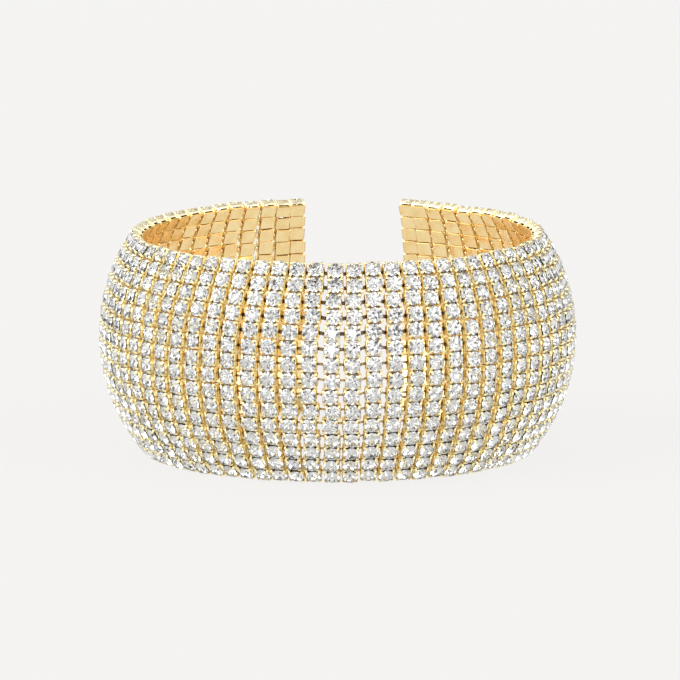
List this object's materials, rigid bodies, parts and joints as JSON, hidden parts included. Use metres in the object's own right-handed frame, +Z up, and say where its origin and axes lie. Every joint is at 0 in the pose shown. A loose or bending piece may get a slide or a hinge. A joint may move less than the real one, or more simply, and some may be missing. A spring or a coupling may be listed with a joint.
{
  "type": "rhinestone cuff bracelet",
  "caption": "Wide barrel-sided cuff bracelet of soldered rows of stone-set cup chain, open at the back, slipped over the side of the wrist and worn round it.",
  "frame": {"origin": "on the surface that the cuff stands on, under the middle of its box", "axes": "+Z up, along the axis of the wrist; -Y towards the front of the cuff; +Y towards its opening; +X along its widest direction"},
  "size_m": [0.067, 0.0634, 0.0312],
  "materials": {
    "gold_plated_brass": "polished",
    "clear_stone": "faceted, foil backed"
  },
  "bodies": {
    "root": {"chain_row_01": "gold_plated_brass", "chain_row_02": "gold_plated_brass", "chain_row_03": "gold_plated_brass", "chain_row_04": "gold_plated_brass", "chain_row_05": "gold_plated_brass", "chain_row_06": "gold_plated_brass", "chain_row_07": "gold_plated_brass", "chain_row_08": "gold_plated_brass", "chain_row_09": "gold_plated_brass", "chain_row_10": "gold_plated_brass", "chain_row_11": "gold_plated_brass", "chain_row_12": "gold_plated_brass", "chain_row_13": "gold_plated_brass", "chain_row_14": "gold_plated_brass", "chain_row_15": "gold_plated_brass"}
  },
  "joints": []
}
